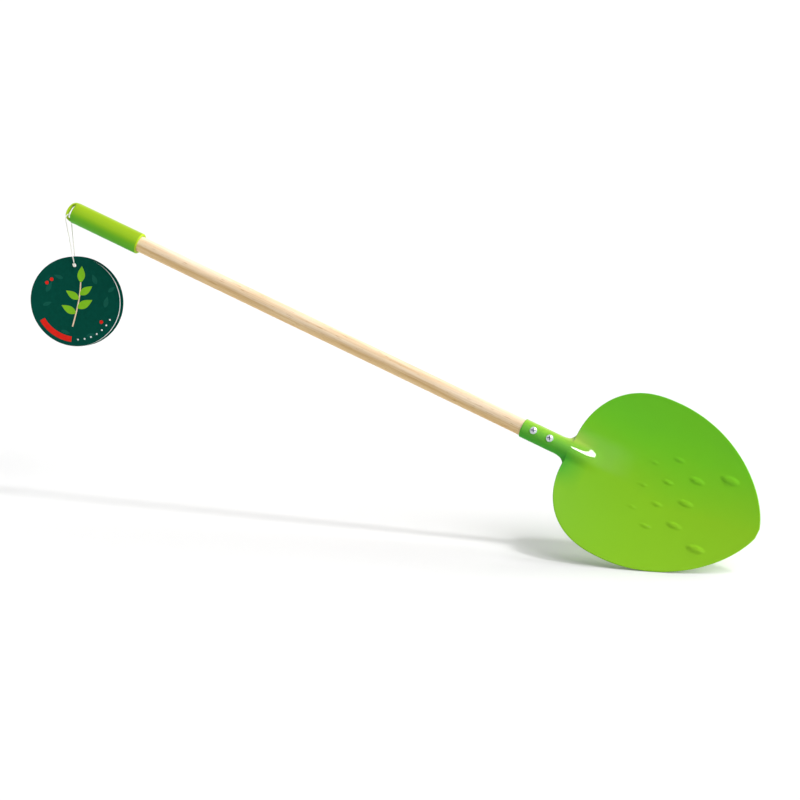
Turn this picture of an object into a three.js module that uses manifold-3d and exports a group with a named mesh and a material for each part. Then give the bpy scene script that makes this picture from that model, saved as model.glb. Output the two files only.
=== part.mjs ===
// A child's long-handled spade, held by its grip with the blade's lower edge near the ground.
// Millimetres, +Z up. The origin is the middle of the grip, where a hand holds it.
import * as THREE from "three";
import { mergeVertices } from "three/addons/utils/BufferGeometryUtils.js";
import Module from "manifold-3d";

// How the spade is held: the handle slopes down towards +X, and the face is rolled from level towards -Y.
const HANDLE_SLOPE = 21;
const FACE_ROLL = 60;

// Pole
const POLE_DIAMETER = 16;
const POLE_SHOWN = 436;
const POLE_CHAMFER = 1;

// Grip sleeve and its hanging eye
const GRIP_WALL = 2.4;
const GRIP_LENGTH = 79;
const GRIP_END_WALL = 8;
const GRIP_EDGE_RADIUS = 1.2;
const GRIP_CLEARANCE = 0.3;
const EYE_GAP = 6;
const EYE_STRAP = 3.1;
const EYE_DEPTH = 5.5;
const EYE_CORNER = 3;
const EYE_CROWN_FLAT = 6;
const EYE_CROWN_RISE = 0.2;
const EYE_BEVEL = 0.7;
const EYE_INSET = 0.3;

// Pressed blade with its rolled socket
const SHEET = 1;
const SOCKET_CLEARANCE = 0.3;
const SOCKET_STRAIGHT = 36;
const SEAM_GAP = 1.6;
const NECK_LENGTH = 14.9;
const NECK_HALF_WIDTH = 17.4;
const NECK_FLARE = 0.43;
const NECK_EASE = 0.45;
const BLADE_WIDTH = 166.3;
const WIDEST_AT = 125.3;
const BLADE_REACH = 247.3;
const SHOULDER_POWER = 2.48;
const TIP_POWER = 0.674;
const RIDGE_END = 88;
const RIDGE_WIDTH = 25;
const DISH_LOW_AT = 100;
const DISH_LOW = 1.5;
const DISH_LONG_RADIUS = 435;
const DISH_CROSS_RADIUS = 246;

// Pressed dimples: place along the blade, places across it, length, width
const DIMPLE_RISE = 0.9;
const DIMPLE_ROWS = [
  { along: 128.5, across: [-24, 0, 24], length: 6.5, width: 3.2 },
  { along: 148.5, across: [-35.5, -11.8, 11.8, 35.5], length: 9.8, width: 4 },
  { along: 172.5, across: [-24, 0, 24], length: 14, width: 5.3 },
  { along: 201, across: [-36.5, 36.5], length: 17, width: 6.7 },
];

// Screws
const SCREW_PLACES = { socket_screw_upper: 12.2, socket_screw_lower: 29.6 };
const SCREW_HEAD = 7;
const SCREW_HEAD_RISE = 2.3;
const SCREW_SHANK = 3.2;
const SCREW_LENGTH = 13;
const SCREW_POINT = 3;
const SCREW_CLEARANCE = 0.3;
const RECESS_WIDTH = 0.95;
const RECESS_LENGTH = 4;
const RECESS_DEPTH = 1.3;

// String and tag
const STRING_DIAMETER = 1.2;
const STRING_FROM_GRIP = 3.1;
const STRING_TWIST = 25;
const STRING_DROP = 51;
const STRING_BEND = 2.6;
const STRING_LEAN = 5;
const TAG_TURN = 18;
const TAG_DIAMETER = 93;
const TAG_THICKNESS = 0.5;
const TAG_HOLE = 3.6;
const TAG_HOLE_FROM_EDGE = 9;
const TAG_LEAF_GAP = 0.7;
const TAG_REAR_LEAN = 4;
const KNOT_DIAMETER = 4.2;
const CLEARANCE = 0.3;

// Sizes that follow from those above
const poleRadius = POLE_DIAMETER / 2;
const gripBore = poleRadius + GRIP_CLEARANCE;
const gripRadius = gripBore + GRIP_WALL;
const gripRim = GRIP_LENGTH / 2;
const gripEnd = -GRIP_LENGTH / 2;
const boreEnd = gripEnd + GRIP_END_WALL;
const socketRim = gripRim + POLE_SHOWN;
const socketRadius = poleRadius + SOCKET_CLEARANCE + SHEET / 2;
const socketOutside = socketRadius + SHEET / 2;
const poleStart = boreEnd + CLEARANCE;
const poleEnd = socketRim + SOCKET_STRAIGHT;
const eyeOuterHalf = gripRadius - EYE_INSET;
const eyeInnerHalf = eyeOuterHalf - EYE_STRAP;
const degrees = Math.PI / 180;

const wasm = await Module();
wasm.setup();

function solidOf(geometry) {
  const bare = geometry.clone();
  bare.deleteAttribute("normal");
  bare.deleteAttribute("uv");
  const merged = mergeVertices(bare, 1e-4);
  const mesh = new wasm.Mesh({
    numProp: 3,
    vertProperties: new Float32Array(merged.attributes.position.array),
    triVerts: new Uint32Array(merged.index.array),
  });
  return new wasm.Manifold(mesh);
}

function geometryOf(solid) {
  const mesh = solid.getMesh();
  const geometry = new THREE.BufferGeometry();
  geometry.setAttribute("position", new THREE.BufferAttribute(new Float32Array(mesh.vertProperties), 3));
  geometry.setIndex(new THREE.BufferAttribute(new Uint32Array(mesh.triVerts), 1));
  return geometry;
}

// A turned shape about the X axis, from pairs of (place along X, radius).
function turned(profile, sides) {
  const points = profile.map(([x, radius]) => new THREE.Vector2(radius, x));
  return new THREE.LatheGeometry(points, sides).rotateZ(-Math.PI / 2);
}

// A quarter round between two places of a turned profile, left to right.
function rounded(x, radius, bend, from, to, steps = 4) {
  return Array.from({ length: steps + 1 }, (_, i) => {
    const angle = (from + ((to - from) * i) / steps) * degrees;
    return [x + bend * Math.cos(angle), radius + bend * Math.sin(angle)];
  });
}

function cylinderAlongZ(radius, x, low, high, sides = 20) {
  const geometry = new THREE.CylinderGeometry(radius, radius, high - low, sides).rotateX(Math.PI / 2);
  return geometry.translate(x, 0, (low + high) / 2);
}

const part = new THREE.Group();
part.name = "childrens_spade";
const tool = new THREE.Group();
tool.name = "held_spade";
tool.rotation.set(FACE_ROLL * degrees, HANDLE_SLOPE * degrees, 0, "YXZ");
part.add(tool);

function add(group, name, geometry, colour, roughness, metalness) {
  geometry.computeVertexNormals();
  const material = new THREE.MeshStandardMaterial({ color: colour, roughness, metalness });
  const mesh = new THREE.Mesh(geometry, material);
  mesh.name = name;
  group.add(mesh);
}

// Blade: half the opened sheet's width at a place along it, measured from the socket's rim.
const shoulderAt = SOCKET_STRAIGHT + NECK_LENGTH;
function halfWidth(x) {
  if (x <= shoulderAt) return NECK_HALF_WIDTH;
  if (x <= WIDEST_AT) {
    const left = (WIDEST_AT - x) / (WIDEST_AT - shoulderAt);
    return NECK_HALF_WIDTH + (BLADE_WIDTH / 2 - NECK_HALF_WIDTH) * Math.sqrt(1 - left ** SHOULDER_POWER);
  }
  const t = (x - WIDEST_AT) / (BLADE_REACH - WIDEST_AT);
  return (BLADE_WIDTH / 2) * (1 - t * t) ** TIP_POWER;
}

function dish(x, y) {
  return DISH_LOW + (x - DISH_LOW_AT) ** 2 / (2 * DISH_LONG_RADIUS) + (y * y) / (2 * DISH_CROSS_RADIUS);
}

// How far the tube has opened at a place along the neck. It ends square to the socket, so that the
// outline of the neck runs into the shoulder without a corner.
function opening(x) {
  const t = THREE.MathUtils.clamp((x - SOCKET_STRAIGHT) / NECK_LENGTH, 0, 1);
  return THREE.MathUtils.smoothstep(t, 0, NECK_EASE) * (1 - Math.sqrt(1 - t ** NECK_FLARE));
}

// The middle of the sheet, at a place along it and a share across it from -1 to 1: a tube that opens
// in the neck into the dish, where a low ridge carries on from the tube's front.
const seamAngle = Math.PI - Math.asin(SEAM_GAP / 2 / socketRadius);
const ridgeRise = socketRadius - dish(shoulderAt, 0);
function sheetAt(x, share) {
  const open = opening(x);
  const angle = share * seamAngle;
  const flat = share * halfWidth(x);
  const ridge = ridgeRise * (1 - THREE.MathUtils.smoothstep(x, shoulderAt, RIDGE_END));
  const flank = Math.cos((Math.min(Math.abs(flat) / (RIDGE_WIDTH / 2), 1) * Math.PI) / 2) ** 2;
  const opened = dish(Math.max(x, shoulderAt), flat) + ridge * flank;
  const y = (1 - open) * socketRadius * Math.sin(angle) + open * flat;
  const z = (1 - open) * socketRadius * Math.cos(angle) + open * opened;
  return new THREE.Vector3(x, y, z);
}

function bladePlaces() {
  const places = [0, SOCKET_STRAIGHT / 2, SOCKET_STRAIGHT];
  for (let i = 1; i <= 9; i++) places.push(SOCKET_STRAIGHT + NECK_LENGTH * Math.sin(i * 10 * degrees));
  for (let i = 1; i <= 14; i++) {
    const turn = 1 - Math.cos((i / 14) * 90 * degrees) ** 0.77;
    places.push(shoulderAt + (WIDEST_AT - shoulderAt) * Math.min(turn, 1));
  }
  for (let i = 1; i <= 16; i++) {
    places.push(WIDEST_AT + (BLADE_REACH - WIDEST_AT) * Math.sin((i / 16) * 86.5 * degrees));
  }
  return places;
}

function sheetSolid() {
  const places = bladePlaces();
  const across = 34;
  const shares = Array.from({ length: across + 1 }, (_, j) => (2 * j) / across - 1);
  const middle = places.map((x) => shares.map((share) => sheetAt(x, share)));
  const last = places.length - 1;
  const points = [];
  const step = new THREE.Vector3();
  const side = new THREE.Vector3();
  for (const face of [1, -1]) {
    for (let i = 0; i <= last; i++) {
      for (let j = 0; j <= across; j++) {
        step.subVectors(middle[Math.min(i + 1, last)][j], middle[Math.max(i - 1, 0)][j]);
        side.subVectors(middle[i][Math.min(j + 1, across)], middle[i][Math.max(j - 1, 0)]);
        const out = step.clone().cross(side).normalize();
        points.push(...middle[i][j].clone().addScaledVector(out, (face * SHEET) / 2).toArray());
      }
    }
  }
  const front = (i, j) => i * (across + 1) + j;
  const back = (i, j) => front(i, j) + (last + 1) * (across + 1);
  const index = [];
  const quad = (a, b, c, d) => index.push(a, b, c, a, c, d);
  for (let i = 0; i < last; i++) {
    for (let j = 0; j < across; j++) {
      quad(front(i, j), front(i + 1, j), front(i + 1, j + 1), front(i, j + 1));
      quad(back(i, j), back(i, j + 1), back(i + 1, j + 1), back(i + 1, j));
    }
    quad(front(i, 0), back(i, 0), back(i + 1, 0), front(i + 1, 0));
    quad(front(i, across), front(i + 1, across), back(i + 1, across), back(i, across));
  }
  for (let j = 0; j < across; j++) {
    quad(front(0, j), front(0, j + 1), back(0, j + 1), back(0, j));
    quad(front(last, j), back(last, j), back(last, j + 1), front(last, j + 1));
  }
  const geometry = new THREE.BufferGeometry();
  geometry.setAttribute("position", new THREE.Float32BufferAttribute(points, 3));
  geometry.setIndex(index);
  return solidOf(geometry);
}

// A dimple's oval, lying on the sheet at a place on the dish, on its front or its back.
function oval(x, y, length, width, rise, face) {
  const rising = (x - DISH_LOW_AT) / DISH_LONG_RADIUS;
  const slope = new THREE.Vector3(-rising, -y / DISH_CROSS_RADIUS, 1).normalize();
  const along = new THREE.Vector3(1, 0, 0).addScaledVector(slope, -slope.x).normalize();
  const turn = new THREE.Matrix4().makeBasis(along, slope.clone().cross(along), slope);
  const centre = new THREE.Vector3(x, y, dish(x, y)).addScaledVector(slope, (face * SHEET) / 2);
  const geometry = new THREE.SphereGeometry(1, 12, 6).rotateX(Math.PI / 2);
  geometry.scale(length / 2, width / 2, rise);
  return solidOf(geometry.applyMatrix4(turn).translate(...centre.toArray()));
}

let blade = sheetSolid();
for (const row of DIMPLE_ROWS) {
  for (const y of row.across) {
    blade = blade.add(oval(row.along, y, row.length, row.width, DIMPLE_RISE, 1));
    const inner = oval(row.along, y, row.length - SHEET, row.width - SHEET, DIMPLE_RISE, -1);
    blade = blade.subtract(inner);
  }
}
const holeRadius = SCREW_SHANK / 2 + SCREW_CLEARANCE;
for (const x of Object.values(SCREW_PLACES)) {
  blade = blade.subtract(solidOf(cylinderAlongZ(holeRadius, x, poleRadius / 2, socketOutside + SHEET)));
}
add(tool, "blade", geometryOf(blade).translate(socketRim, 0, 0), 0x6fb32a, 0.35, 0.1);

// Pole, with a pilot hole for each screw
const screwFoot = socketOutside + CLEARANCE - SCREW_LENGTH;
let pole = solidOf(
  turned(
    [
      [poleStart, 0],
      [poleStart, poleRadius - POLE_CHAMFER],
      [poleStart + POLE_CHAMFER, poleRadius],
      [poleEnd - POLE_CHAMFER, poleRadius],
      [poleEnd, poleRadius - POLE_CHAMFER],
      [poleEnd, 0],
    ],
    40,
  ),
);
for (const x of Object.values(SCREW_PLACES)) {
  const pilot = cylinderAlongZ(holeRadius, socketRim + x, screwFoot - CLEARANCE, poleRadius + 1);
  pole = pole.subtract(solidOf(pilot));
}
add(tool, "handle_dowel", geometryOf(pole), 0xe6c79c, 0.55, 0);

// Grip: a sleeve with an end wall, and the eye's bail in one piece with it
const edge = GRIP_EDGE_RADIUS;
const sleeve = turned(
  [
    [gripEnd, 0],
    ...rounded(gripEnd + edge, gripRadius - edge, edge, 180, 90),
    ...rounded(gripRim - edge, gripRadius - edge, edge, 90, 0),
    [gripRim, gripBore],
    [boreEnd, gripBore],
    [boreEnd, 0],
  ],
  44,
);
// Both outlines are drawn where the flat sides end; the bevel rounds them out to the strap's full size.
function bailOutline(path, foot, reach, half, corner) {
  path.moveTo(foot, -half);
  path.lineTo(foot, half);
  const bend = gripEnd - reach + EYE_CROWN_RISE + corner;
  path.absarc(bend, half - corner, corner, Math.PI / 2, Math.PI);
  path.lineTo(gripEnd - reach, EYE_CROWN_FLAT / 2);
  path.lineTo(gripEnd - reach, -EYE_CROWN_FLAT / 2);
  path.absarc(bend, corner - half, corner, Math.PI, 1.5 * Math.PI);
  return path;
}
const bevel = EYE_BEVEL;
const outerCorner = EYE_CORNER + EYE_STRAP - bevel;
const outerReach = EYE_GAP + EYE_STRAP - bevel;
const bailFoot = gripEnd + 2 * edge;
const bail = bailOutline(new THREE.Shape(), bailFoot, outerReach, eyeOuterHalf - bevel, outerCorner);
const slotFoot = gripEnd + edge;
const slotCorner = EYE_CORNER + bevel;
bail.holes.push(bailOutline(new THREE.Path(), slotFoot, EYE_GAP + bevel, eyeInnerHalf + bevel, slotCorner));
const strap = new THREE.ExtrudeGeometry(bail, {
  depth: EYE_DEPTH - 2 * bevel,
  curveSegments: 8,
  bevelThickness: bevel,
  bevelSize: bevel,
  bevelSegments: 2,
}).translate(0, 0, bevel - EYE_DEPTH / 2);
add(tool, "grip", geometryOf(solidOf(sleeve).add(solidOf(strap))), 0x86c232, 0.4, 0);

// Screws: a domed head with a cross recess, the shank in the pole
function screw(x) {
  const foot = socketOutside + CLEARANCE;
  const dome = Array.from({ length: 5 }, (_, i) => {
    const angle = (i / 4) * 90 * degrees;
    return [SCREW_HEAD_RISE * (0.35 + 0.65 * Math.sin(angle)), (SCREW_HEAD / 2) * Math.cos(angle) ** 0.6];
  });
  dome[4][1] = 0;
  const profile = [
    [-SCREW_LENGTH, 0],
    [SCREW_POINT - SCREW_LENGTH, SCREW_SHANK / 2],
    [0, SCREW_SHANK / 2],
    [0, SCREW_HEAD / 2],
    ...dome,
  ];
  let solid = solidOf(turned(profile, 24).rotateY(-Math.PI / 2));
  for (const [long, wide] of [[RECESS_LENGTH, RECESS_WIDTH], [RECESS_WIDTH, RECESS_LENGTH]]) {
    const cut = new THREE.BoxGeometry(long, wide, 2 * RECESS_DEPTH).translate(0, 0, SCREW_HEAD_RISE);
    solid = solid.subtract(solidOf(cut));
  }
  return geometryOf(solid).rotateZ(Math.PI / 5).translate(socketRim + x, 0, foot);
}
for (const [name, x] of Object.entries(SCREW_PLACES)) add(tool, name, screw(x), 0xd7d7d4, 0.25, 1);

// Tag: hangs from the lower leg of the eye, in its own upright group whose origin is where the string bears
const legAt = gripEnd - STRING_FROM_GRIP;
const legMiddle = (eyeInnerHalf + eyeOuterHalf) / 2;
const archRadius = EYE_DEPTH / 2 + STRING_DIAMETER / 2 + 4 * CLEARANCE;
tool.updateMatrixWorld(true);
const hang = new THREE.Group();
hang.name = "hanging_tag";
hang.position.copy(tool.localToWorld(new THREE.Vector3(legAt, -legMiddle, 0)));
hang.position.z += archRadius;
hang.rotation.z = TAG_TURN * degrees;
part.add(hang);

const leafBack = TAG_LEAF_GAP / 2 + TAG_THICKNESS;
const knotRadius = KNOT_DIAMETER / 2;
const knotAt = new THREE.Vector3(STRING_LEAN, -leafBack - CLEARANCE - knotRadius, -STRING_DROP);
const bendBack = TAG_LEAF_GAP + STRING_BEND;
const upright = new THREE.Vector3(0, 0, 1);

// The string from the knot up the front, over the eye's leg, down the back and through the holes
// to the knot again. Its arch is turned from the tag, so the two strands stand apart.
class Loop extends THREE.Curve {
  constructor() {
    super();
    this.pieces = new THREE.CurvePath();
    const at = (y, z) => new THREE.Vector3(STRING_LEAN, y, z);
    const over = (y, z) => new THREE.Vector3(0, y, z).applyAxisAngle(upright, -STRING_TWIST * degrees);
    const low = knotAt.z + knotRadius + CLEARANCE;
    const up = new THREE.LineCurve3(at(knotAt.y, low), over(-archRadius, -archRadius));
    const foot = at(bendBack, STRING_BEND - STRING_DROP);
    const down = new THREE.LineCurve3(over(archRadius, -archRadius), foot);
    const end = knotAt.y + knotRadius + CLEARANCE;
    const through = new THREE.LineCurve3(at(TAG_LEAF_GAP, -STRING_DROP), at(end, -STRING_DROP));
    const round = 0.5523;
    const k = archRadius * round;
    const bend = STRING_BEND * round;
    this.pieces.add(up);
    const top = new THREE.Vector3();
    const rise = up.getTangent(1).multiplyScalar(k).add(up.v2);
    const fall = down.getTangent(0).multiplyScalar(-k).add(down.v1);
    this.pieces.add(new THREE.CubicBezierCurve3(up.v2, rise, over(-k, 0), top));
    this.pieces.add(new THREE.CubicBezierCurve3(top, over(k, 0), fall, down.v1));
    this.pieces.add(down);
    const leave = at(bendBack, down.v2.z - bend);
    const arrive = at(through.v1.y + bend, -STRING_DROP);
    this.pieces.add(new THREE.CubicBezierCurve3(down.v2, leave, arrive, through.v1));
    this.pieces.add(through);
  }
  getPoint(t, target = new THREE.Vector3()) {
    return target.copy(this.pieces.getPoint(t));
  }
}
const roundSection = new THREE.Shape();
roundSection.absarc(0, 0, STRING_DIAMETER / 2, 0, 2 * Math.PI);
const string = new THREE.ExtrudeGeometry(roundSection, {
  steps: 56,
  curveSegments: 4,
  extrudePath: new Loop(),
  bevelEnabled: false,
});
add(hang, "tag_string", string, 0xf3efe2, 0.8, 0);
const knot = new THREE.SphereGeometry(knotRadius, 16, 10).translate(...knotAt.toArray());
add(hang, "string_knot", knot, 0xf3efe2, 0.8, 0);

// Leaves: each hangs with the top of its hole just over the string
const holeBelow = STRING_DROP + TAG_HOLE / 2 - STRING_DIAMETER / 2 - CLEARANCE;
const centreBelow = holeBelow + TAG_DIAMETER / 2 - TAG_HOLE_FROM_EDGE;
function leaf(place, lean) {
  const card = new THREE.Shape();
  card.absarc(0, 0, TAG_DIAMETER / 2, 0, 2 * Math.PI);
  const hole = new THREE.Path();
  hole.absarc(0, TAG_DIAMETER / 2 - TAG_HOLE_FROM_EDGE, TAG_HOLE / 2, 0, 2 * Math.PI);
  card.holes.push(hole);
  const settings = { depth: TAG_THICKNESS, curveSegments: 24, bevelEnabled: false };
  const geometry = new THREE.ExtrudeGeometry(card, settings).rotateX(Math.PI / 2);
  geometry.translate(0, place, STRING_DROP - centreBelow);
  return geometry.rotateY(-lean * degrees).translate(STRING_LEAN, 0, -STRING_DROP);
}
add(hang, "tag_front_leaf", leaf(-TAG_LEAF_GAP / 2, 0), 0x06473a, 0.5, 0);
add(hang, "tag_rear_leaf", leaf(leafBack, TAG_REAR_LEAN), 0x06473a, 0.5, 0);

export default part;
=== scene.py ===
from math import asin, cos, pi, radians, sin, sqrt

import bmesh
import bpy
import numpy as np
from mathutils import Euler, Matrix, Vector


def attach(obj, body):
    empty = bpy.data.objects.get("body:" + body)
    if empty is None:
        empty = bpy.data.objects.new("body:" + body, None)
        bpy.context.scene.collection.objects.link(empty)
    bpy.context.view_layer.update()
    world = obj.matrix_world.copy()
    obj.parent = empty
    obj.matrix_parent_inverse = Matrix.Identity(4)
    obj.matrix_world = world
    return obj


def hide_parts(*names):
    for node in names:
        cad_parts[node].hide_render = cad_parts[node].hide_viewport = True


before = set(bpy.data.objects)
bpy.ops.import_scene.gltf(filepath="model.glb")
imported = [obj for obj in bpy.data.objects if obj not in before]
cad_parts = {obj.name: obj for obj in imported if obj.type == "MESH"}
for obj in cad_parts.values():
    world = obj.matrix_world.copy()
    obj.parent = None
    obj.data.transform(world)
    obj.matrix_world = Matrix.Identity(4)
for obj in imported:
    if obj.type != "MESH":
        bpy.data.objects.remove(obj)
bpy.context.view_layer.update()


# Pole: a straight round dowel of pale beech, turned and sanded smooth.
# One end is driven into the blade's socket, the other into the grip's bore.
pole_start, pole_end, pole_radius = -0.0312, 0.5115, 0.008
tool_turn = (radians(60), radians(21), 0)
held = Euler(tool_turn).to_matrix().to_4x4()


def set_down(name, data):
    thing = bpy.data.objects.new(name, data)
    bpy.context.scene.collection.objects.link(thing)
    return thing


def put(tree, kind, inputs=None, **settings):
    node = tree.nodes.new(kind)
    for key, value in settings.items():
        setattr(node, key, value)
    for key, value in (inputs or {}).items():
        if isinstance(value, bpy.types.NodeSocket):
            tree.links.new(value, node.inputs[key])
        else:
            node.inputs[key].default_value = value
    return node


def new_tree(name, sockets):
    tree = bpy.data.node_groups.new(name, "GeometryNodeTree")
    for label, kind in sockets.items():
        tree.interface.new_socket(label, in_out="INPUT", socket_type="NodeSocket" + kind)
    tree.interface.new_socket("Geometry", in_out="OUTPUT", socket_type="NodeSocketGeometry")
    return tree, tree.nodes.new("NodeGroupInput").outputs


def shaded(tree, geometry, crease):
    bend = put(tree, "GeometryNodeInputMeshEdgeAngle").outputs[0]
    steep = put(tree, "FunctionNodeCompare", {0: bend, 1: radians(crease)})
    smooth = put(tree, "GeometryNodeSetShadeSmooth", {"Geometry": geometry, "Shade Smooth": True})
    return put(tree, "GeometryNodeSetShadeSmooth", {
        "Geometry": smooth.outputs[0], "Selection": steep.outputs[0], "Shade Smooth": False,
    }, domain="EDGE").outputs[0]


def close_tree(tree, geometry, material, spared=None):
    real = put(tree, "GeometryNodeRealizeInstances", {"Geometry": geometry})
    painted = put(tree, "GeometryNodeSetMaterial", {
        "Geometry": real.outputs[0], "Material": material,
    })
    if spared:
        other = put(tree, "GeometryNodeMaterialSelection", {"Material": spared})
        rest = put(tree, "FunctionNodeBooleanMath", {0: other.outputs[0]}, operation="NOT")
        tree.links.new(rest.outputs[0], painted.inputs["Selection"])
    put(tree, "NodeGroupOutput", {"Geometry": painted.outputs[0]})


def grow(name, tree, values, host=None):
    piece = set_down(name, host or bpy.data.meshes.new(name))
    modifier = piece.modifiers.new("growth", "NODES")
    modifier.node_group = tree
    for item in tree.interface.items_tree:
        if item.in_out == "INPUT" and item.name in values:
            modifier[item.identifier] = values[item.name]
    bpy.context.view_layer.update()
    seen = piece.evaluated_get(bpy.context.evaluated_depsgraph_get())
    mesh = bpy.data.meshes.new_from_object(seen)
    piece.modifiers.remove(modifier)
    piece.data = mesh
    mesh.name = name
    return piece


def new_finish(name, **sockets):
    material = bpy.data.materials.new(name)
    material.use_nodes = True
    tree = material.node_tree
    for label, value in sockets.items():
        tree.nodes["Principled BSDF"].inputs[label.replace("_", " ")].default_value = value
    return material, tree


def wire(tree, **sources):
    for label, source in sources.items():
        tree.links.new(source, tree.nodes["Principled BSDF"].inputs[label.replace("_", " ")])


def tool_place(tree, scale=(1, 1, 1)):
    place = put(tree, "ShaderNodeTexCoord").outputs["Object"]
    along = put(tree, "ShaderNodeMapping", {
        "Vector": place, "Rotation": tool_turn,
    }, vector_type="TEXTURE")
    return put(tree, "ShaderNodeMapping", {
        "Vector": along.outputs[0], "Scale": scale,
    }).outputs[0]


def towards(tree, side):
    return put(tree, "ShaderNodeVectorMath", {
        0: tool_place(tree), 1: side,
    }, operation="DOT_PRODUCT").outputs["Value"]


def noise(tree, place, scale, detail=3, rough=0.6):
    return put(tree, "ShaderNodeTexNoise", {
        "Vector": place, "Scale": scale, "Detail": detail, "Roughness": rough,
    }).outputs[0]


def between(tree, value, low, high, start=0.0, stop=1.0, **settings):
    return put(tree, "ShaderNodeMapRange", {
        "Value": value, "From Min": low, "From Max": high, "To Min": start, "To Max": stop,
    }, **settings).outputs[0]


def ramp(tree, factor, stops):
    node = put(tree, "ShaderNodeValToRGB", {0: factor})
    band = node.color_ramp
    while len(band.elements) < len(stops):
        band.elements.new(0.5)
    for element, (place, colour) in zip(band.elements, stops):
        element.position = place
        element.color = (*colour, 1)
    return node.outputs[0]


def glazed(tree, ground, glaze, strength=1.0):
    return put(tree, "ShaderNodeMix", {
        0: strength, 6: ground, 7: glaze,
    }, data_type="RGBA", blend_type="MULTIPLY").outputs[2]


def bump(tree, height, strength, distance):
    return put(tree, "ShaderNodeBump", {
        "Strength": strength, "Distance": distance, "Height": height,
    }).outputs[0]


# Broad bands, fine fibres and short flecks run along the wood; its upper side is painted paler, as
# light from above, and its lower side darker and warmer, as shade.
beech, tree = new_finish("pale_beech", Roughness=0.5, Specular_IOR_Level=0.15)
broad = noise(tree, tool_place(tree, (5, 150, 150)), scale=1.6, detail=5)
fibre = noise(tree, tool_place(tree, (14, 1500, 1500)), scale=1)
flecks = noise(tree, tool_place(tree, (90, 900, 900)), scale=1, detail=2, rough=0.5)
wood = ramp(tree, broad, [
    (0.32, (0.72, 0.51, 0.27)), (0.44, (0.82, 0.63, 0.38)),
    (0.55, (0.87, 0.71, 0.48)), (0.7, (0.91, 0.77, 0.56)),
])
streak = ramp(tree, fibre, [(0.35, (0.78, 0.68, 0.56)), (0.62, (1, 1, 1))])
fleck = ramp(tree, flecks, [(0.30, (0.66, 0.5, 0.36)), (0.37, (1, 1, 1))])
# Painted light and shade: the wood's colour follows how far the surface faces up.
pole_upper_side = (0, 108, 62)
pole_light_and_shade = ramp(tree, between(tree, towards(tree, pole_upper_side), -1, 1), [
    (0.1, (0.95, 0.85, 0.66)), (0.45, (0.94, 0.85, 0.68)),
    (0.62, (1, 1, 1.06)), (1, (1, 1, 1.12)),
])
wood = glazed(tree, wood, streak, strength=0.55)
wood = glazed(tree, wood, fleck, strength=0.6)
wood = glazed(tree, wood, pole_light_and_shade)
wire(tree, Base_Color=wood, Normal=bump(tree, fibre, strength=0.12, distance=0.0002))

tree, given = new_tree("turned_pole", {
    "Start": "Float", "End": "Float", "Radius": "Float", "Material": "Material",
})
low = put(tree, "ShaderNodeCombineXYZ", {"X": given["Start"]})
high = put(tree, "ShaderNodeCombineXYZ", {"X": given["End"]})
axis = put(tree, "GeometryNodeCurvePrimitiveLine", {
    "Start": low.outputs[0], "End": high.outputs[0],
})
axis = put(tree, "GeometryNodeResampleCurve", {"Curve": axis.outputs[0], "Count": 60})
turning = put(tree, "GeometryNodeCurvePrimitiveCircle", {
    "Resolution": 96, "Radius": given["Radius"],
})
rod = put(tree, "GeometryNodeCurveToMesh", {
    "Curve": axis.outputs[0], "Profile Curve": turning.outputs[0], "Fill Caps": True,
})
close_tree(tree, shaded(tree, rod.outputs[0], crease=40), given["Material"])
pole = grow("turned_pole", tree, {
    "Start": pole_start, "End": pole_end, "Radius": pole_radius, "Material": beech,
})
pole.data.transform(held)
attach(pole, "spade")
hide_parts("handle_dowel")


# Blade: one sheet of steel pressed into a dished leaf, its top rolled to a socket with the seam
# behind. Stoved with a glossy lime enamel; small ovals are pressed forward in rows across the
# lower half. The socket slips over the pole's end.
socket_rim = 0.4755
sheet, tube, seam = 0.001, 0.0088, 0.0008
straight, shoulder, widest, reach = 0.036, 0.0509, 0.1253, 0.2460
neck_half, widest_half, flank_power = 0.0174, 0.08315, 2.48
tip, tip_power = 0.2468, 0.674
dish_low, dish_middle, dish_along, dish_across = 0.0015, 0.1, 0.87, 0.492
ridge_end, ridge_half = 0.088, 0.0125
opening, opening_power = 0.45, 0.43


def half_width(x):
    if x <= shoulder:
        return neck_half
    if x <= widest:
        left = (widest - x) / (widest - shoulder)
        return neck_half + (widest_half - neck_half) * sqrt(1 - left ** flank_power)
    share = (x - widest) / (tip - widest)
    return widest_half * (1 - share * share) ** tip_power


def dish(x, y):
    return dish_low + (x - dish_middle) ** 2 / dish_along + y * y / dish_across


def eased(x, low, high):
    t = min(max((x - low) / (high - low), 0), 1)
    return t * t * (3 - 2 * t)


def sheet_at(x, share):
    angle = share * (pi - asin(seam / tube))
    flat = share * (half_width(x) - sheet / 2)
    ridge = (tube - dish(shoulder, 0)) * (1 - eased(x, shoulder, ridge_end))
    flank = cos(min(abs(flat) / ridge_half, 1) * pi / 2) ** 2
    gone = min(max((x - straight) / (shoulder - straight), 0), 1)
    opened = eased(gone, 0, opening) * (1 - sqrt(1 - gone ** opening_power))
    high = dish(max(x, shoulder), flat) + ridge * flank
    y = (1 - opened) * tube * sin(angle) + opened * flat
    return x, y, (1 - opened) * tube * cos(angle) + opened * high


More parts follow.
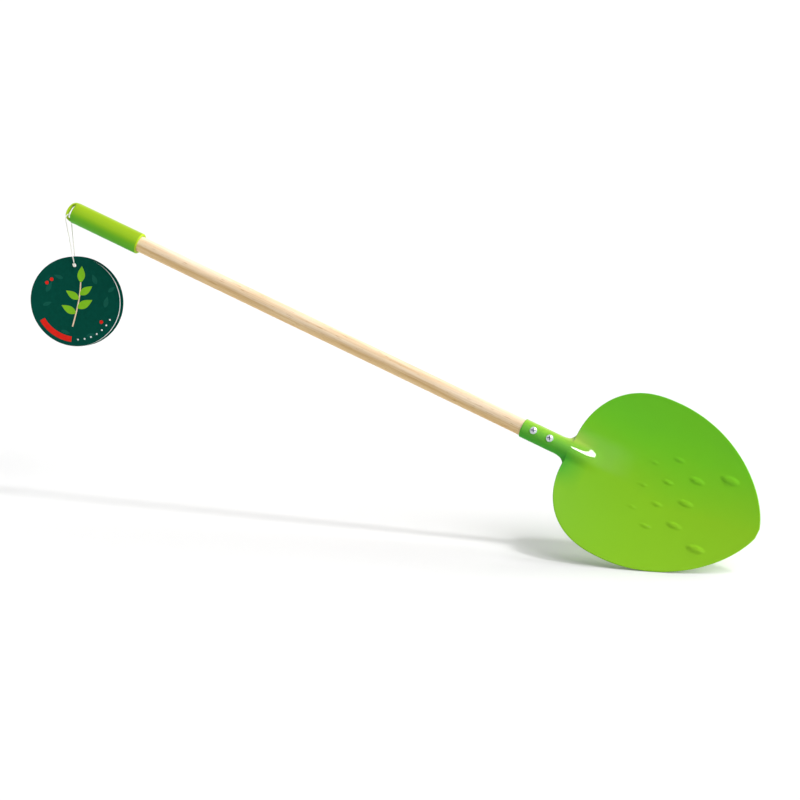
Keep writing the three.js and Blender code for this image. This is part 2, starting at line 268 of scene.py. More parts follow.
# Rows run down the blade from the rim and stand closer where its outline bends.
flank_gather, last_turn, crown = 0.77, radians(87), 0.62
rows = [0.0005, 0.0009, 0.0016, 0.006, 0.012, 0.018, 0.024, 0.030]
for turn in np.linspace(0, pi / 2, 28)[:-1]:
    rows.append(straight + (shoulder - straight) * sin(turn))
for turn in np.linspace(0, pi / 2, 56)[:-1]:
    rows.append(shoulder + (widest - shoulder) * (1 - cos(turn) ** flank_gather))
for turn in np.linspace(0, last_turn, 96):
    rows.append(widest + (reach - widest) * sin(turn))
columns = np.concatenate([
    np.linspace(-1, -crown, 22)[:-1], np.linspace(-crown, crown, 121),
    np.linspace(crown, 1, 22)[1:],
])
middle = np.array([[sheet_at(x, share) for share in columns] for x in rows])
facing = np.cross(np.gradient(middle, axis=0), np.gradient(middle, axis=1))
facing /= np.linalg.norm(facing, axis=2, keepdims=True)
down, across = middle.shape[:2]
number = np.arange(down * across).reshape(down, across)
border = np.concatenate([number[:-1, 0], number[-1, :-1], number[:0:-1, -1], number[0, :0:-1]])

# Half the sheet's thickness goes to each side of its middle, and the border is rounded over.
spots, fronts = middle.reshape(-1, 3), facing.reshape(-1, 3)
run = np.roll(spots[border], -1, axis=0) - np.roll(spots[border], 1, axis=0)
outward = np.cross(run, fronts[border])
outward /= np.linalg.norm(outward, axis=1, keepdims=True)
points = [spots + fronts * sheet / 2, spots - fronts * sheet / 2]
press = [fronts, fronts]
edge_turns = (45, 0, -45)
for turn in edge_turns:
    lean = outward * cos(radians(turn)) + fronts[border] * sin(radians(turn))
    points.append(spots[border] + lean * sheet / 2)
    press.append(fronts[border])
corners = number[:-1, :-1], number[1:, :-1], number[1:, 1:], number[:-1, 1:]
front_faces = np.stack([corner.ravel() for corner in corners], 1)
back = down * across
faces = [front_faces, front_faces[:, [0, 3, 2, 1]] + back]
rims = [border]
for k in range(len(edge_turns)):
    rims.append(2 * back + k * len(border) + np.arange(len(border)))
rims.append(border + back)
for upper, lower in zip(rims[:-1], rims[1:]):
    faces.append(np.stack([upper, lower, np.roll(lower, -1), np.roll(upper, -1)], 1))
blank = bpy.data.meshes.new("pressed_sheet")
blank.from_pydata(np.concatenate(points).tolist(), [], np.concatenate(faces).tolist())
pressed = blank.attributes.new("press", "FLOAT_VECTOR", "POINT")
pressed.data.foreach_set("vector", np.concatenate(press).ravel())
blank.shade_smooth()


def reckon(tree, operation, *values):
    return put(tree, "ShaderNodeMath", dict(enumerate(values)), operation=operation).outputs[0]


enamel, tree = new_finish(
    "lime_enamel", Roughness=0.42, Specular_IOR_Level=0.03, Coat_Weight=0.5, Coat_Roughness=0.06,
    Coat_IOR=1.6,
)
cloud = noise(tree, tool_place(tree), scale=9, rough=0.5)
spread = put(tree, "ShaderNodeSeparateXYZ", {0: tool_place(tree)}).outputs
# The colour shifts across the blade's height, yellower at the lower edge and greener at the upper:
# painted light and shade, over a random mottle.
height = between(tree, spread["Y"], -0.085, 0.085)
tint = ramp(tree, reckon(tree, "MULTIPLY_ADD", cloud, 0.3, height), [
    (0.1, (0.226, 0.487, 0.017)), (0.6, (0.245, 0.555, 0.014)),
    (0.9, (0.172, 0.580, 0.016)), (1.0, (0.160, 0.570, 0.018)),
])

# Along the lower side of the socket and neck the colour is painted darker and bluer, as shade, and
# along their upper edge paler and creamier, as a highlight; both fade out past the neck.
neck_from, neck_to, blade_end = socket_rim + 0.05, socket_rim + 0.075, socket_rim + 0.24
painted_neck_shade_and_highlight = ramp(tree, between(tree, spread["Y"], -0.05, 0.05), [
    (0.12, (1, 1, 1)), (0.28, (0.45, 0.85, 1.5)), (0.41, (0.25, 0.76, 1.8)),
    (0.5, (0.7, 0.96, 1.3)), (0.56, (1.2, 0.98, 0.9)), (0.6, (2.05, 1.1, 2.9)),
    (0.72, (1, 1, 1)),
])
painted_neck_shade_and_highlight = put(tree, "ShaderNodeMix", {
    0: between(tree, spread["X"], neck_from, neck_to), 6: painted_neck_shade_and_highlight, 7: (1, 1, 1, 1),
}, data_type="RGBA").outputs[2]
# The blade is also painted darker and bluer at the neck and paler towards the tip: light and shade
# laid into the colour.
painted_light_along_blade = ramp(tree, between(tree, spread["X"], neck_from, blade_end), [
    (0.0, (0.82, 0.9, 1.1)), (0.5, (1, 1, 1)), (1.0, (1.16, 1.09, 1.25)),
])
tint = glazed(tree, glazed(tree, tint, painted_neck_shade_and_highlight), painted_light_along_blade)

# The clear coat is full on the neck's ridge, which catches the light, and thin elsewhere.
thin_coat, full_coat = 0.08, 0.65
coat_from, coat_to = socket_rim + 0.09, socket_rim + 0.115
coat = between(tree, spread["Y"], -0.006, 0.0, thin_coat, full_coat)
coat = between(tree, spread["Y"], 0.018, 0.028, coat, thin_coat)
coat = between(tree, spread["X"], coat_from, coat_to, coat, thin_coat)
peel = noise(tree, tool_place(tree), scale=420, detail=2, rough=0.5)
rub = ramp(tree, cloud, [(0.35, (0.38, 0.38, 0.38)), (0.65, (0.46, 0.46, 0.46))])
wire(
    tree, Base_Color=tint, Roughness=rub, Coat_Weight=coat,
    Coat_Normal=bump(tree, peel, strength=0.01, distance=0.0004),
)

# Each dimple row: how far below the rim, places across, length and width.
dimple_rows = (
    (0.1285, (-0.024, 0, 0.024), 0.0065, 0.0032),
    (0.1485, (-0.0355, -0.0118, 0.0118, 0.0355), 0.0098, 0.004),
    (0.1725, (-0.024, 0, 0.024), 0.014, 0.0053),
    (0.201, (-0.0365, 0.0365), 0.017, 0.0067),
)
marks = [(x, y, long, wide) for x, places, long, wide in dimple_rows for y in places]
mark_mesh = bpy.data.meshes.new("dimple_marks")
mark_mesh.from_pydata([(x, y, dish(x, y)) for x, y, _, _ in marks], [], [])
for label, column in (("long", 2), ("wide", 3)):
    measure = mark_mesh.attributes.new(label, "FLOAT", "POINT")
    measure.data.foreach_set("value", [mark[column] for mark in marks])
mark_points = set_down("dimple_marks", mark_mesh)

tree, given = new_tree("pressed_dimples", {
    "Geometry": "Geometry", "Marks": "Object", "Rise": "Float", "Spread": "Float",
    "Material": "Material",
})
stamped = put(tree, "GeometryNodeObjectInfo", {"Object": given["Marks"]}).outputs["Geometry"]
place = put(tree, "GeometryNodeInputPosition").outputs[0]
nearest = put(tree, "GeometryNodeSampleNearest", {"Geometry": stamped}, domain="POINT").outputs[0]


def of_nearest_mark(tree, value, kind):
    return put(tree, "GeometryNodeSampleIndex", {
        "Geometry": stamped, "Value": value, "Index": nearest,
    }, data_type=kind).outputs[0]


def attribute(tree, label, kind):
    return put(tree, "GeometryNodeInputNamedAttribute", {"Name": label}, data_type=kind).outputs[0]


centre = of_nearest_mark(tree, put(tree, "GeometryNodeInputPosition").outputs[0], "FLOAT_VECTOR")
gap = put(tree, "ShaderNodeVectorMath", {0: place, 1: centre}, operation="SUBTRACT")
gap = put(tree, "ShaderNodeSeparateXYZ", {0: gap.outputs[0]}).outputs
long_size = of_nearest_mark(tree, attribute(tree, "long", "FLOAT"), "FLOAT")
wide_size = of_nearest_mark(tree, attribute(tree, "wide", "FLOAT"), "FLOAT")
squares = []
for size, offset in ((long_size, gap["X"]), (wide_size, gap["Y"])):
    ratio = reckon(tree, "DIVIDE", offset, reckon(tree, "MULTIPLY", size, given["Spread"]))
    squares.append(reckon(tree, "POWER", ratio, 2.0))
around = reckon(tree, "ADD", *squares)
tall = reckon(tree, "MULTIPLY", wide_size, given["Rise"])
swell = between(tree, around, 1.0, 0.0, 0.0, tall, interpolation_type="SMOOTHSTEP")
push = put(tree, "ShaderNodeVectorMath", {
    0: attribute(tree, "press", "FLOAT_VECTOR"), "Scale": swell,
}, operation="SCALE")
raised = put(tree, "GeometryNodeSetPosition", {
    "Geometry": given["Geometry"], "Offset": push.outputs[0],
})
close_tree(tree, raised.outputs[0], given["Material"])
blade = grow("pressed_blade", tree, {
    "Marks": mark_points, "Rise": 0.25, "Spread": 0.6, "Material": enamel,
}, blank)
bpy.data.objects.remove(mark_points)
blade.data.transform(held @ Matrix.Translation((socket_rim, 0, 0)))
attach(blade, "spade")
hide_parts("blade")


# Socket screws: two pan-head screws with a cross recess, bright zinc on steel.
# They go through the front of the socket into the pole, one behind the other.
upper_screw, lower_screw, screw_seat = socket_rim + 0.0122, socket_rim + 0.0296, 0.0092
head_radius, head_rise = 0.0035, 0.0026
recess = (0.0044, 0.00105, 0.0028)
zinc, tree = new_finish("bright_zinc", Metallic=0.35, Roughness=0.24)
speck = noise(tree, tool_place(tree), scale=900)
plating = ramp(tree, speck, [(0.3, (0.58, 0.61, 0.69)), (0.7, (0.76, 0.78, 0.84))])
wire(tree, Base_Color=plating, Normal=bump(tree, speck, strength=0.1, distance=0.0001))

# Painted shade: the cross recess is coloured near black and bluish, darker than the zinc itself.
recess_shade_zinc, tree = new_finish("shaded_zinc", Metallic=0.25, Roughness=0.45)
speck = noise(tree, tool_place(tree), scale=700)
wire(tree, Base_Color=ramp(tree, speck, [(0.3, (0.03, 0.04, 0.1)), (0.7, (0.08, 0.09, 0.17))]))

# A head is a flattened ball, sunk a little and trimmed to a round blank; two bars cut its cross,
# and the cut faces take the recess's painted shade.
dome_over, dome_out, blank_deep = 1.2, 1.08, 0.008
tree, given = new_tree("socket_screws", {
    "Recess Material": "Material", "First": "Vector", "Last": "Vector", "Radius": "Float",
    "Rise": "Float", "Recess": "Vector", "Material": "Material",
})
ball = put(tree, "GeometryNodeMeshUVSphere", {"Segments": 48, "Rings": 32, "Radius": 1.0})
tall = reckon(tree, "MULTIPLY", given["Rise"], dome_over)
wide = reckon(tree, "MULTIPLY", given["Radius"], dome_out)
size = put(tree, "ShaderNodeCombineXYZ", {"X": wide, "Y": wide, "Z": tall})
sunk = put(tree, "ShaderNodeCombineXYZ", {"Z": reckon(tree, "SUBTRACT", given["Rise"], tall)})
dome = put(tree, "GeometryNodeTransform", {
    "Geometry": ball.outputs[0], "Translation": sunk.outputs[0], "Scale": size.outputs[0],
})
skirt = put(tree, "GeometryNodeMeshCylinder", {
    "Vertices": 48, "Radius": given["Radius"], "Depth": blank_deep,
})
lift = put(tree, "GeometryNodeTransform", {
    "Geometry": skirt.outputs[0], "Translation": (0, 0, blank_deep / 2),
})
head = put(tree, "GeometryNodeMeshBoolean", operation="INTERSECT", solver="EXACT")
tree.links.new(dome.outputs[0], head.inputs["Mesh 2"])
tree.links.new(lift.outputs[0], head.inputs["Mesh 2"])
head = put(tree, "GeometryNodeSetMaterial", {
    "Geometry": head.outputs[0], "Material": given["Material"],
})
cut = put(tree, "GeometryNodeMeshBoolean", {
    "Mesh 1": head.outputs[0],
}, operation="DIFFERENCE", solver="EXACT")
top = put(tree, "ShaderNodeCombineXYZ", {"Z": given["Rise"]})
for turn in (0, pi / 2):
    bar = put(tree, "GeometryNodeMeshCube", {"Size": given["Recess"]})
    bar = put(tree, "GeometryNodeTransform", {
        "Geometry": bar.outputs[0], "Translation": top.outputs[0], "Rotation": (0, 0, turn),
    })
    bar = put(tree, "GeometryNodeSetMaterial", {
        "Geometry": bar.outputs[0], "Material": given["Recess Material"],
    })
    tree.links.new(bar.outputs[0], cut.inputs["Mesh 2"])
ends = put(tree, "GeometryNodeMeshLine", {
    "Count": 2, "Start Location": given["First"], "Offset": given["Last"],
}, mode="END_POINTS")
spin = put(tree, "FunctionNodeRandomValue", {
    "Min": (0, 0, 0.3), "Max": (0, 0, 1.3), "Seed": 4,
}, data_type="FLOAT_VECTOR")
driven = put(tree, "GeometryNodeInstanceOnPoints", {
    "Points": ends.outputs[0], "Instance": cut.outputs[0], "Rotation": spin.outputs[0],
})
real = put(tree, "GeometryNodeRealizeInstances", {"Geometry": driven.outputs[0]})
crisp = shaded(tree, real.outputs[0], crease=32)
close_tree(tree, crisp, given["Material"], given["Recess Material"])
screws = grow("socket_screws", tree, {
    "First": (upper_screw, 0, screw_seat), "Last": (lower_screw, 0, screw_seat),
    "Radius": head_radius, "Rise": head_rise, "Recess": recess,
    "Material": zinc, "Recess Material": recess_shade_zinc,
})
screws.data.transform(held)
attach(screws, "spade")
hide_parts("socket_screw_upper", "socket_screw_lower")


# Grip: a moulded sleeve of lime plastic, pushed over the pole's end.
# Its closed end carries a flat bail, moulded in one with it, to hang the spade by.
grip_radius, bore, rim, end, soft = 0.0107, 0.0083, 0.0395, -0.0395, 0.0012
end_wall, end_ring, lead_in = 0.008, 0.005, 0.0003
sides = 96
quarter_turn = np.linspace(0, pi / 2, 7)
profile = [(end, 0.0), (end, end_ring)]
for turn in quarter_turn:
    profile.append((end + soft - soft * cos(turn), grip_radius - soft + soft * sin(turn)))
profile += [(x, grip_radius) for x in np.linspace(end + soft, rim - soft, 14)[1:-1]]
for turn in quarter_turn:
    profile.append((rim - soft + soft * sin(turn), grip_radius - soft + soft * cos(turn)))
profile += [(rim, bore + lead_in), (rim - lead_in, bore), (0.0, bore)]
profile += [(end + end_wall, bore), (end + end_wall, 0.0)]
ring = [2 * pi * k / sides for k in range(sides)]
points = [(x, radius * cos(turn), radius * sin(turn)) for x, radius in profile for turn in ring]


def hoops(first, count, around):
    quads = []
    for low in range(first, first + (count - 1) * around, around):
        high = low + around
        for k in range(around):
            after = (k + 1) % around
            quads.append((low + k, high + k, high + after, low + after))
    return quads


faces = hoops(0, len(profile), sides)


def bow(turn, half, out, square):
    x = end - out * abs(cos(turn)) ** (2 / square)
    y = half * np.sign(sin(turn)) * abs(sin(turn)) ** (2 / square)
    return np.array([x, y])


# The bail's inner and outer bow: half width, reach and squareness. Its legs root in the sleeve.
inner_bow, outer_bow = (0.0076, 0.0063, 3.2), (0.0103, 0.0087, 2.3)
fillet, half_deep, root, loops = 0.0009, 0.0024, 0.003, 20
lower_leg, upper_leg = (
    [np.array([end + root, side * half]) for half in (inner_bow[0], outer_bow[0])]
    for side in (-1, 1)
)
arcs = [
    (bow(turn, *inner_bow), bow(turn, *outer_bow)) for turn in np.linspace(-pi / 2, pi / 2, 45)
]
stations = [lower_leg, *arcs, upper_leg]
first = len(points)
for inside, outside in stations:
    half = np.linalg.norm(outside - inside) / 2
    away = (outside - inside) / (2 * half)
    for corner_x, corner_z, start in ((1, 1, 0), (-1, 1, 90), (-1, -1, 180), (1, -1, 270)):
        for turn in np.linspace(radians(start), radians(start + 90), loops // 4):
            aside = corner_x * (half - fillet) + fillet * cos(turn)
            x, y = (inside + outside) / 2 + away * aside
            points.append((x, y, corner_z * (half_deep - fillet) + fillet * sin(turn)))
faces += hoops(first, len(stations), loops)
last = first + (len(stations) - 1) * loops
faces += [tuple(range(first, first + loops)), tuple(range(last, last + loops))]
grip_mesh = bpy.data.meshes.new("moulded_grip")
grip_mesh.from_pydata(points, [], faces)


def tidy_mesh(mesh, crease):
    work = bmesh.new()
    work.from_mesh(mesh)
    bmesh.ops.remove_doubles(work, verts=work.verts, dist=1e-6)
    bmesh.ops.dissolve_degenerate(work, edges=work.edges, dist=1e-7)
    bmesh.ops.recalc_face_normals(work, faces=work.faces)
    work.to_mesh(mesh)
    work.free()
    mesh.shade_smooth()
    mesh.set_sharp_from_angle(angle=radians(crease))


tidy_mesh(grip_mesh, crease=35)

# The plastic is painted yellower and brighter on its upper side, as light, with a pale band as a
# painted highlight, and painted brightest at the rim and on the bail, where they catch the light.
lime, tree = new_finish("lime_plastic", Roughness=0.42, Specular_IOR_Level=0.15)
mould = noise(tree, tool_place(tree), scale=30, rough=0.5)
grip_upper_side = (0, 81, 47)
# Painted light and shade: the colour follows how far the surface faces up.
side = between(tree, towards(tree, grip_upper_side), -1, 1, 0.0, 0.8)
side = reckon(tree, "MULTIPLY_ADD", mould, 0.08, side)
along = put(tree, "ShaderNodeSeparateXYZ", {0: tool_place(tree)}).outputs["X"]
# Painted highlight: the rim and the bail are lifted towards the brightest colours.
for low, high, lift in ((rim - 0.0012, rim - 0.0005, 0.5), (end - 0.0002, end - 0.001, 0.7)):
    side = reckon(tree, "ADD", side, between(tree, along, low, high, 0.0, lift))
tint = ramp(tree, side, [
    (0.07, (0.065, 0.37, 0.018)), (0.4, (0.145, 0.49, 0.012)), (0.61, (0.30, 0.54, 0.014)),
    (0.82, (0.28, 0.42, 0.007)), (1.0, (0.45, 0.66, 0.012)),
])
skin = noise(tree, tool_place(tree), scale=1400, detail=2, rough=0.5)
wire(tree, Base_Color=tint, Normal=bump(tree, skin, strength=0.02, distance=0.0002))
grip_mesh.materials.append(lime)
grip_mesh.transform(held)
grip = set_down("moulded_grip", grip_mesh)
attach(grip, "spade")
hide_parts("grip")


# Tag string: thin white twisted cotton, one loop over the lower leg of the eye.
# Both strands come down to the tag's holes, where a knot closes the loop.
hung = Matrix.Translation((-0.042517, -0.004425, 0.012661)) @ Matrix.Rotation(radians(18), 4, "Z")
cotton_width, drop, arch, turnback, lean = 0.0012, 0.051, 0.00455, 0.0026, 0.005
knot_ahead, knot_half = 0.00325, 0.0024
card_front, hole_back = -0.00085, 0.0007
knot_place = Vector((lean, -knot_ahead, -drop))
leg_turn = Matrix.Rotation(radians(-25), 4, "Z")
handle = 0.5523  # Bezier handle of a quarter circle, as a share of its radius


def bezier(a, b, c, d, steps):
    course = []
    for t in np.linspace(0, 1, steps):
        s = 1 - t
        course.append(a * s ** 3 + 3 * b * t * s ** 2 + 3 * c * t * t * s + d * t ** 3)
    return course


# From the knot up the front, over the leg, down behind it and forward through both holes.
front, rear = leg_turn @ Vector((0, -arch, -arch)), leg_turn @ Vector((0, arch, -arch))
top = Vector()
ahead = leg_turn @ Vector((0, -handle * arch, 0))
behind = leg_turn @ Vector((0, handle * arch, 0))
low_front = knot_place + Vector((0, 0, knot_half))
rear_foot = Vector((lean, hole_back + turnback, turnback - drop))
hole = Vector((lean, hole_back, -drop))
rising = front + (front - low_front).normalized() * handle * arch
falling = rear + (rear - rear_foot).normalized() * handle * arch
foot_down = rear_foot - Vector((0, 0, handle * turnback))
foot_in = hole + Vector((0, handle * turnback, 0))
line = [low_front.lerp(front, t) for t in np.linspace(0, 1, 9)[:-1]]
line += bezier(front, rising, ahead, top, 7)[:-1]
line += bezier(top, behind, falling, rear, 7)[:-1]
line += [rear.lerp(rear_foot, t) for t in np.linspace(0, 1, 9)[:-1]]
line += bezier(rear_foot, foot_down, foot_in, hole, 5)[:-1]
line += [hole.lerp(Vector((lean, card_front, -drop)), t) for t in np.linspace(0, 1, 3)]
line = [hung @ point for point in line]

cotton, tree = new_finish("white_cotton", Roughness=0.85, Sheen_Weight=0.25, Sheen_Roughness=0.5)
fuzz = noise(tree, put(tree, "ShaderNodeTexCoord").outputs["Object"], scale=2600)
pale = ramp(tree, fuzz, [(0.3, (0.86, 0.85, 0.77)), (0.65, (0.96, 0.95, 0.90))])
wire(tree, Base_Color=pale, Normal=bump(tree, fuzz, strength=0.35, distance=0.0001))

# The yarn has three lobes that wind round its course.
lobe_count, lobe_waist = 3, 0.72
twist, given = new_tree("twisted_string", {
    "Geometry": "Geometry", "Radius": "Float", "Turns": "Float", "Step": "Float",
    "Material": "Material",
})
course = put(twist, "GeometryNodeMeshToCurve", {"Mesh": given["Geometry"]})
course = put(twist, "GeometryNodeCurveSplineType", {
    "Curve": course.outputs[0],
}, spline_type="CATMULL_ROM")
course = put(twist, "GeometryNodeResampleCurve", {
    "Curve": course.outputs[0], "Length": given["Step"],
}, mode="LENGTH")
length = put(twist, "GeometryNodeSplineParameter").outputs["Length"]
course = put(twist, "GeometryNodeSetCurveTilt", {
    "Curve": course.outputs[0], "Tilt": reckon(twist, "MULTIPLY", length, given["Turns"]),
})
lobes = put(twist, "GeometryNodeCurveStar", {
    "Points": lobe_count, "Outer Radius": given["Radius"],
    "Inner Radius": reckon(twist, "MULTIPLY", given["Radius"], lobe_waist),
})
lobes = put(twist, "GeometryNodeCurveSplineType", {
    "Curve": lobes.outputs[0],
}, spline_type="CATMULL_ROM")
lobes = put(twist, "GeometryNodeResampleCurve", {"Curve": lobes.outputs[0], "Count": 15})
yarn = put(twist, "GeometryNodeCurveToMesh", {
    "Curve": course.outputs[0], "Profile Curve": lobes.outputs[0], "Fill Caps": True,
})
smooth = put(twist, "GeometryNodeSetShadeSmooth", {
    "Geometry": yarn.outputs[0], "Shade Smooth": True,
})
close_tree(twist, smooth.outputs[0], given["Material"])


def spun(name, course, closed=False):
    way = bpy.data.meshes.new(name + "_way")
    count = len(course)
    pairs = [(i, (i + 1) % count) for i in range(count if closed else count - 1)]
    way.from_pydata([tuple(point) for point in course], pairs, [])
    return grow(name, twist, {
        "Radius": cotton_width / 2, "Turns": 1500.0, "Step": 0.0003, "Material": cotton,
    }, way)


string = spun("twisted_string", line)
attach(string, "string")
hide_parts("tag_string")


# Knot: the two ends of the string tied in a small overhand knot in front of the tag.
# It is wider than the hole, so it keeps the string from pulling through.
knot_size = 0.00048
tie = []
for t in np.linspace(0, 2 * pi, 60, endpoint=False):
    trefoil = Vector((sin(t) + 2 * sin(2 * t), -sin(3 * t), cos(t) - 2 * cos(2 * t)))
    tie.append(hung @ (knot_place + trefoil * knot_size))
knot = spun("tied_knot", tie, closed=True)
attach(knot, "string")
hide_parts("string_knot")


# Tag leaves: two round cards on one string, white board printed dark green on both faces and round
# the edge, the rear one turned a little. Each has a punched hole near its edge; the front one's
# print is a plain garden pattern of leaves, dots and a red band.
card_radius, card, card_hole, hole_up, hole_drop = 0.0465, 0.0005, 0.0018, 0.0375, 0.0519
leaf_drop = hole_drop + hole_up
rear_card_front, rear_card_turn = 0.00035, -4

board, tree = new_finish("white_board", Roughness=0.8)
pulp = noise(tree, put(tree, "ShaderNodeTexCoord").outputs["Object"], scale=1800)
wire(tree, Base_Color=ramp(tree, pulp, [(0.3, (0.78, 0.78, 0.75)), (0.7, (0.9, 0.9, 0.88))]))


def ink(name, dark, light):
    material, tree = new_finish(name, Roughness=0.55, Specular_IOR_Level=0.03)
    place = put(tree, "ShaderNodeTexCoord").outputs["Object"]
    mottle = noise(tree, place, scale=260, detail=4)
    weave = noise(tree, place, scale=2200, detail=2, rough=0.5)
    wire(
        tree, Base_Color=ramp(tree, mottle, [(0.3, dark), (0.7, light)]),
        Normal=bump(tree, weave, strength=0.05, distance=0.0001),
    )
    return material


pine = ink("pine_ink", (0.0, 0.058, 0.040), (0.0004, 0.068, 0.047))


def round_card(name, front, turn):
    ring, lip = 160, 0.00006
    printed, bare = 0, 1
    turns = [2 * pi * i / ring for i in range(ring)]
    outer = [(card_radius * sin(t), card_radius * cos(t)) for t in turns]
    inner = [(card_hole * sin(t), hole_up + card_hole * cos(t)) for t in turns]
    eased_in = 1 - lip / card_radius
    points, faces, stuff = [], [], []
    for depth, shrink in (
        (front, eased_in), (front + lip, 1), (front + card - lip, 1), (front + card, eased_in),
    ):
        points += [(x * shrink, depth, z * shrink) for x, z in outer]
        points += [(x, depth, z) for x, z in inner]
    level = 2 * ring
    back = 3 * level
    for i in range(ring):
        j = (i + 1) % ring
        faces.append((i, j, ring + j, ring + i))
        faces.append((back + i, back + ring + i, back + ring + j, back + j))
        stuff += [printed, printed]
        for low in (0, level, 2 * level):
            high = low + level
            faces.append((low + i, high + i, high + j, low + j))
            faces.append((low + ring + i, low + ring + j, high + ring + j, high + ring + i))
            stuff += [printed, bare if low else printed]
    mesh = bpy.data.meshes.new(name)
    mesh.from_pydata(points, [], faces)
    mesh.materials.append(pine)
    mesh.materials.append(board)
    mesh.polygons.foreach_set("material_index", stuff)
    tidy_mesh(mesh, crease=30)
    swung = Matrix.Translation((lean, 0, -drop)) @ Matrix.Rotation(radians(turn), 4, "Y")
    seat = hung @ swung @ Matrix.Translation((0, 0, drop - leaf_drop))
    mesh.transform(seat)
    piece = set_down(name, mesh)
    return piece, seat


front_leaf, front_place = round_card("front_card", card_front, 0)
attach(front_leaf, "front_leaf")
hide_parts("tag_front_leaf")
rear_leaf, _ = round_card("rear_card", rear_card_front, rear_card_turn)
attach(rear_leaf, "rear_leaf")
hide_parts("tag_rear_leaf")

moss = ink("moss_ink", (0.004, 0.088, 0.062), (0.008, 0.098, 0.070))
sprout = ink("sprout_ink", (0.20, 0.50, 0.016), (0.235, 0.545, 0.022))
straw = ink("straw_ink", (0.74, 0.55, 0.36), (0.83, 0.66, 0.48))
poppy = ink("poppy_ink", (0.68, 0.016, 0.010), (0.74, 0.024, 0.014))
chalk = ink("chalk_ink", (0.83, 0.87, 0.85), (0.9, 0.92, 0.9))


def leaf_outline(x, z, length, width, turn, steps=14):
    side = [(t, width / 2 * sin(pi * t ** 0.8)) for t in np.linspace(0, 1, steps)]
    outline = [(t * length, w) for t, w in side] + [(t * length, -w) for t, w in side[-2:0:-1]]
    c, s = cos(radians(turn)), sin(radians(turn))
    return [(x + c * u - s * v, z + s * u + c * v) for u, v in outline]


def band_outline(points, width):
    points = [Vector(point) for point in points]
    sides = ([], [])
    for i, point in enumerate(points):
        run = (points[min(i + 1, len(points) - 1)] - points[max(i - 1, 0)]).normalized()
        for side, sign in zip(sides, (1, -1)):
            side.append(tuple(point + sign * width / 2 * Vector((-run.y, run.x))))
    return sides[0] + sides[1][::-1]


def disc_outline(x, z, radius, steps=28):
    turns = [2 * pi * i / steps for i in range(steps)]
    return [(x + radius * cos(t), z + radius * sin(t)) for t in turns]


def stem_at(t):
    return -0.004 + 0.010 * sin(1.4 * t), -0.026 + 0.046 * t


def round_foot(degrees):
    return band_radius * sin(radians(degrees)), -band_radius * cos(radians(degrees))


# The print, from the card's middle: faint leaves, a sprig, red dots, a red band and pale dots
# round the foot, and a pale crescent along the right edge, widest at its middle.
stem_width, leaf_share, berry = 0.0014, 0.46, 0.0019
band_radius, band_width, dot = 0.0395, 0.0058, 0.0009
crescent_radius, crescent_width, crescent_from, crescent_to = 0.0464, 0.0008, 25, 175
shapes = []
for x, z, length, width, turn in (
    (-0.030, 0.010, 0.012, 0.005, 60), (-0.034, -0.004, 0.010, 0.004, 20),
    (0.022, 0.018, 0.011, 0.005, 110), (0.030, -0.006, 0.012, 0.005, 75),
    (-0.016, -0.030, 0.010, 0.004, -20), (0.010, -0.036, 0.010, 0.004, 15),
    (-0.012, 0.024, 0.010, 0.004, 160), (0.034, 0.010, 0.009, 0.004, 40),
):
    shapes.append((moss, leaf_outline(x, z, length, width, turn)))
shapes.append((straw, band_outline([stem_at(t) for t in np.linspace(0, 1, 16)], stem_width)))
for t, length, turn in (
    (0.30, 0.017, 150), (0.42, 0.018, 28), (0.62, 0.016, 146), (0.72, 0.016, 34), (1.0, 0.017, 84),
):
    shapes.append((sprout, leaf_outline(*stem_at(t), length, length * leaf_share, turn)))
for x, z in ((-0.024, 0.023), (-0.029, 0.0195), (0.026, -0.021)):
    shapes.append((poppy, disc_outline(x, z, berry)))
sweep = [round_foot(degrees) for degrees in np.linspace(-62, -8, 24)]
shapes.append((poppy, band_outline(sweep, band_width)))
for degrees in (2, 12, 22, 32, 42, 52, 62):
    shapes.append((chalk, disc_outline(*round_foot(degrees), dot, 16)))
# The pale crescent narrows to nothing at both ends.
crescent = []
for degrees in np.linspace(crescent_from, crescent_to, 60):
    share = (degrees - crescent_from) / (crescent_to - crescent_from)
    crescent.append((radians(degrees), crescent_width * sin(pi * share)))
edge = [(crescent_radius * sin(t), crescent_radius * cos(t)) for t, _ in crescent]
edge += [((crescent_radius - w) * sin(t), (crescent_radius - w) * cos(t)) for t, w in crescent[-2:0:-1]]
shapes.append((chalk, edge))

# Each ink lies a little in front of the one before it, so that no two share a plane.
ink_lift, ink_step = 0.000012, 0.000003
print_mesh = bpy.data.meshes.new("leaf_print")
points, faces, stuff, inks = [], [], [], [moss, straw, sprout, poppy, chalk]
for colour, outline in shapes:
    layer = inks.index(colour)
    faces.append(tuple(range(len(points), len(points) + len(outline))))
    stuff.append(layer)
    points += [(x, card_front - ink_lift - ink_step * layer, z) for x, z in outline]
print_mesh.from_pydata(points, [], faces)
for colour in inks:
    print_mesh.materials.append(colour)
print_mesh.polygons.foreach_set("material_index", stuff)
for polygon in print_mesh.polygons:
    if polygon.normal.y > 0:
        polygon.flip()
print_mesh.transform(front_place)
leaf_print = set_down("leaf_print", print_mesh)
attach(leaf_print, "front_leaf")


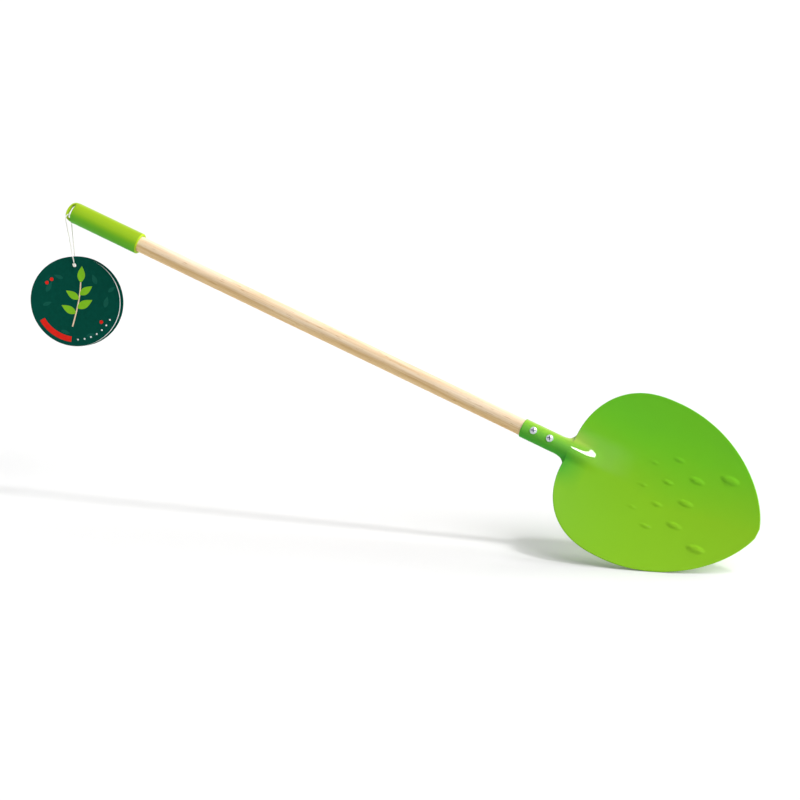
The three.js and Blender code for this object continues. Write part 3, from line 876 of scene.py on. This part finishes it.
# Studio: a plain white floor under the blade's lower edge, in a surround that is white to the
# camera and in reflections. Three suns cast the soft shadows, a fourth only shines in the enamel,
# and the camera stands low in front and to the right, as the photographer did.
floor_height, floor_half, floor_white, air_light = -0.2841, 30, 0.785, 0.18
floor_mesh = bpy.data.meshes.new("studio_floor")
floor_mesh.from_pydata([
    (x * floor_half, y * floor_half, floor_height) for x, y in ((-1, -1), (1, -1), (1, 1), (-1, 1))
], [], [(0, 1, 2, 3)])
paper, tree = new_finish(
    "white_floor", Base_Color=(floor_white, floor_white, floor_white, 1), Roughness=0.9,
    Specular_IOR_Level=0.0,
)
floor_mesh.materials.append(paper)
floor = set_down("studio_floor", floor_mesh)

world = bpy.data.worlds.new("studio_air")
world.use_nodes = True
bpy.context.scene.world = world
tree = world.node_tree
air = tree.nodes["Background"]
air.inputs["Color"].default_value = (1, 1, 1, 1)
air.inputs["Strength"].default_value = air_light
rays = put(tree, "ShaderNodeLightPath").outputs
sky = put(tree, "ShaderNodeBackground", {"Color": (1, 1, 1, 1), "Strength": 1.0})
bright = reckon(tree, "MAXIMUM", rays["Is Glossy Ray"], rays["Is Transmission Ray"])
bright = reckon(tree, "MAXIMUM", rays["Is Camera Ray"], bright)
seen = put(tree, "ShaderNodeMixShader", {0: bright, 1: air.outputs[0], 2: sky.outputs[0]})
tree.links.new(seen.outputs[0], tree.nodes["World Output"].inputs["Surface"])


def lamp(name, source, strength, spread):
    light = bpy.data.lights.new(name, "SUN")
    light.energy, light.angle = strength, radians(spread)
    holder = set_down(name, light)
    holder.rotation_euler = Vector(source).to_track_quat("Z", "Y").to_euler()
    return holder


lamp("upper_right", (0.6, 0.022, 1.0), 1.08, 8).visible_glossy = False
lamp("wide_right", (0.97, 0.72, 1.0), 2.4, 32)
lamp("wide_front", (1.02, -0.40, 1.0), 1.72, 34).visible_glossy = False
lamp("highlight", (0.71, -0.57, 1.01), 3.8, 21).visible_diffuse = False

camera = bpy.data.cameras.new("photo_camera")
camera.lens, camera.sensor_width = 101.25, 36
viewpoint = set_down("photo_camera", camera)
viewpoint.location = (1.0971, -2.0018, 0.3036)
viewpoint.rotation_euler = (radians(78), 0, radians(21.28))
bpy.context.scene.camera = viewpoint
bpy.context.scene.view_settings.view_transform = "Standard"
